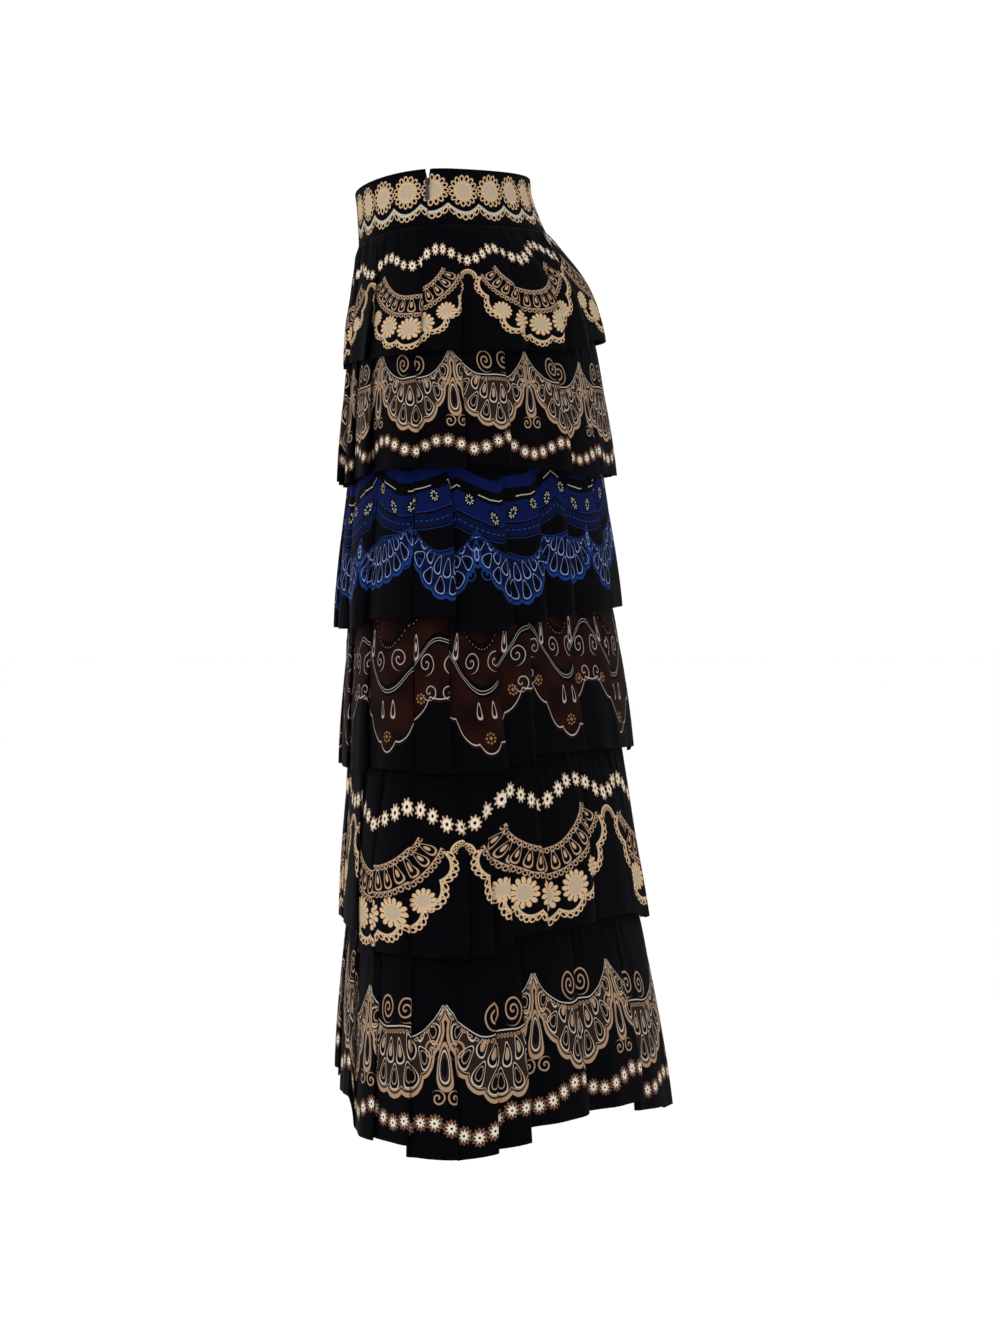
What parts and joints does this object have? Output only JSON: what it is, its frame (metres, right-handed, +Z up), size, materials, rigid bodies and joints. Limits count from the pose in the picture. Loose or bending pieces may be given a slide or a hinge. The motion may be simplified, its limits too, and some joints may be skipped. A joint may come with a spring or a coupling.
{
  "type": "tiered ruffle maxi skirt in its worn form",
  "caption": "Long skirt of gathered, printed ruffle tiers on a plain foundation skirt, with a fitted waistband and a side zip; hollow, in its worn form.",
  "frame": {"origin": "centre of the waist, level with the waistband's top edge at the side", "axes": "+Z up along the wearer, -Y to the wearer's front, +X to the wearer's left, where the zip is"},
  "size_m": [0.5689, 0.3552, 0.9928],
  "materials": {
    "waistband_print": "matt black crepe, printed with a row of cream medallions over lace scallops",
    "foundation_crepe": "plain matt black crepe",
    "swag_print": "matt black crepe, printed with cream daisies and lace swags",
    "fan_print": "matt black crepe, printed with brown and peach fans and a chain of daisies",
    "blue_print": "matt black crepe, printed with royal blue arcs and fans",
    "rust_print": "matt black crepe, printed with rust patches and thin cream lines",
    "zip_tape": "woven black zip tape",
    "zip_metal": "dark lacquered zinc"
  },
  "bodies": {
    "skirt": {"waistband_front": "waistband_print", "waistband_back": "waistband_print", "foundation_front": "foundation_crepe", "foundation_back": "foundation_crepe", "tier_1_front": "swag_print", "tier_1_back": "swag_print", "tier_2_front": "fan_print", "tier_2_back": "fan_print", "tier_3_front": "blue_print", "tier_3_back": "blue_print", "tier_4_front": "rust_print", "tier_4_back": "rust_print", "tier_5_front": "swag_print", "tier_5_back": "swag_print", "tier_6_front": "fan_print", "tier_6_back": "fan_print", "zip_tape_front": "zip_tape", "zip_tape_back": "zip_tape", "zip_slider": "zip_metal"},
    "zip_tab": {"zip_pull": "zip_metal"}
  },
  "joints": [
    {"name": "zip_pull_swing", "type": "hinge", "parent": "skirt", "child": "zip_tab", "pos_m": [0.13134, -0.01302, -0.01376], "axis": [-0.0829, -0.9966, 0], "range_deg": [0, 160]}
  ]
}
